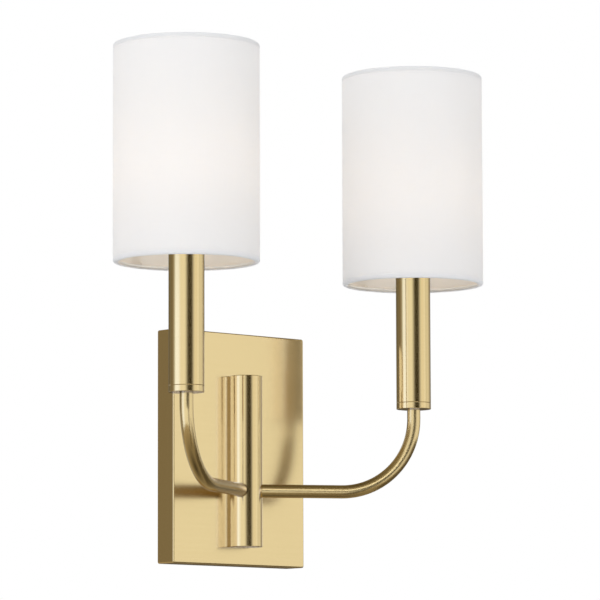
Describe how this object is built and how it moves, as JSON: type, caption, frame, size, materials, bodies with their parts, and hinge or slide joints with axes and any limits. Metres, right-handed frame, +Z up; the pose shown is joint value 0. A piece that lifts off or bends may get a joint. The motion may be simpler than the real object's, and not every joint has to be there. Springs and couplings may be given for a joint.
{
  "type": "wall sconce",
  "caption": "Wall sconce: flat rectangular backplate, upright column tube and bent arms carrying candle tubes with bulbs under lift-off linen drum shades.",
  "frame": {"origin": "on the wall plane, at the middle of the backplate", "axes": "+X to the right seen from the room, +Y into the wall, +Z up"},
  "size_m": [0.3148, 0.1368, 0.3552],
  "materials": {
    "satin_brass": "satin brushed, clear lacquered",
    "raw_brass": "turned, uncoated",
    "strap_steel": "zinc plated",
    "screw_steel": "zinc plated",
    "ground_green": "green coated",
    "bare_copper": null,
    "wire_black": "wire insulation",
    "wire_white": "wire insulation",
    "connector_plastic": "moulded",
    "socket_plastic": "moulded phenolic",
    "bulb_glass": "clear",
    "bulb_nickel": "nickel plated",
    "black_glass": "glossy black insulator",
    "mount_glass": "clear stem",
    "filament": "phosphor coated strips",
    "shade_linen": "white linen on a translucent liner",
    "frame_white": "white powder coat",
    "clip_wire": "brass plated spring wire"
  },
  "bodies": {
    "sconce": {"backplate": "satin_brass", "wall_strap": "strap_steel", "plate_screws": "satin_brass", "ground_screw": "ground_green", "ground_wire": "bare_copper", "column_tube": "satin_brass", "column_top_plug": "satin_brass", "column_bottom_plug": "satin_brass", "column_screws": "screw_steel", "arm_hub": "raw_brass", "hub_nipple": "strap_steel", "hub_nut": "raw_brass", "live_connector": "connector_plastic", "neutral_connector": "connector_plastic", "left_arm": "satin_brass", "left_live_wire": "wire_black", "left_neutral_wire": "wire_white", "left_candle_cap": "satin_brass", "left_cap_nut": "raw_brass", "left_candle_sleeve": "satin_brass", "left_socket_leg": "strap_steel", "left_socket_body": "socket_plastic", "left_socket_shell": "raw_brass", "left_socket_contact": "raw_brass", "right_arm": "satin_brass", "right_live_wire": "wire_black", "right_neutral_wire": "wire_white", "right_candle_cap": "satin_brass", "right_cap_nut": "raw_brass", "right_candle_sleeve": "satin_brass", "right_socket_leg": "strap_steel", "right_socket_body": "socket_plastic", "right_socket_shell": "raw_brass", "right_socket_contact": "raw_brass"},
    "left_bulb": {"left_bulb_glass": "bulb_glass", "left_bulb_base": "bulb_nickel", "left_bulb_insulator": "black_glass", "left_bulb_contact": "bulb_nickel", "left_bulb_mount": "mount_glass", "left_bulb_filaments": "filament"},
    "left_shade": {"left_shade_drum": "shade_linen", "left_shade_frame": "frame_white", "left_shade_bottom_ring": "frame_white", "left_bulb_clip": "clip_wire"},
    "right_bulb": {"right_bulb_glass": "bulb_glass", "right_bulb_base": "bulb_nickel", "right_bulb_insulator": "black_glass", "right_bulb_contact": "bulb_nickel", "right_bulb_mount": "mount_glass", "right_bulb_filaments": "filament"},
    "right_shade": {"right_shade_drum": "shade_linen", "right_shade_frame": "frame_white", "right_shade_bottom_ring": "frame_white", "right_bulb_clip": "clip_wire"}
  },
  "joints": [
    {"name": "left_bulb_turn", "type": "hinge", "parent": "sconce", "child": "left_bulb", "pos_m": [-0.10661, -0.08605, 0.12975], "axis": [0, 0, 1], "range_deg": [0, 1260]},
    {"name": "left_shade_lift", "type": "slide", "parent": "left_bulb", "child": "left_shade", "axis": [0, 0, 1], "range_m": [0, 0.106]},
    {"name": "right_bulb_turn", "type": "hinge", "parent": "sconce", "child": "right_bulb", "pos_m": [0.10661, -0.08605, 0.12975], "axis": [0, 0, 1], "range_deg": [0, 1260]},
    {"name": "right_shade_lift", "type": "slide", "parent": "right_bulb", "child": "right_shade", "axis": [0, 0, 1], "range_m": [0, 0.106]}
  ]
}
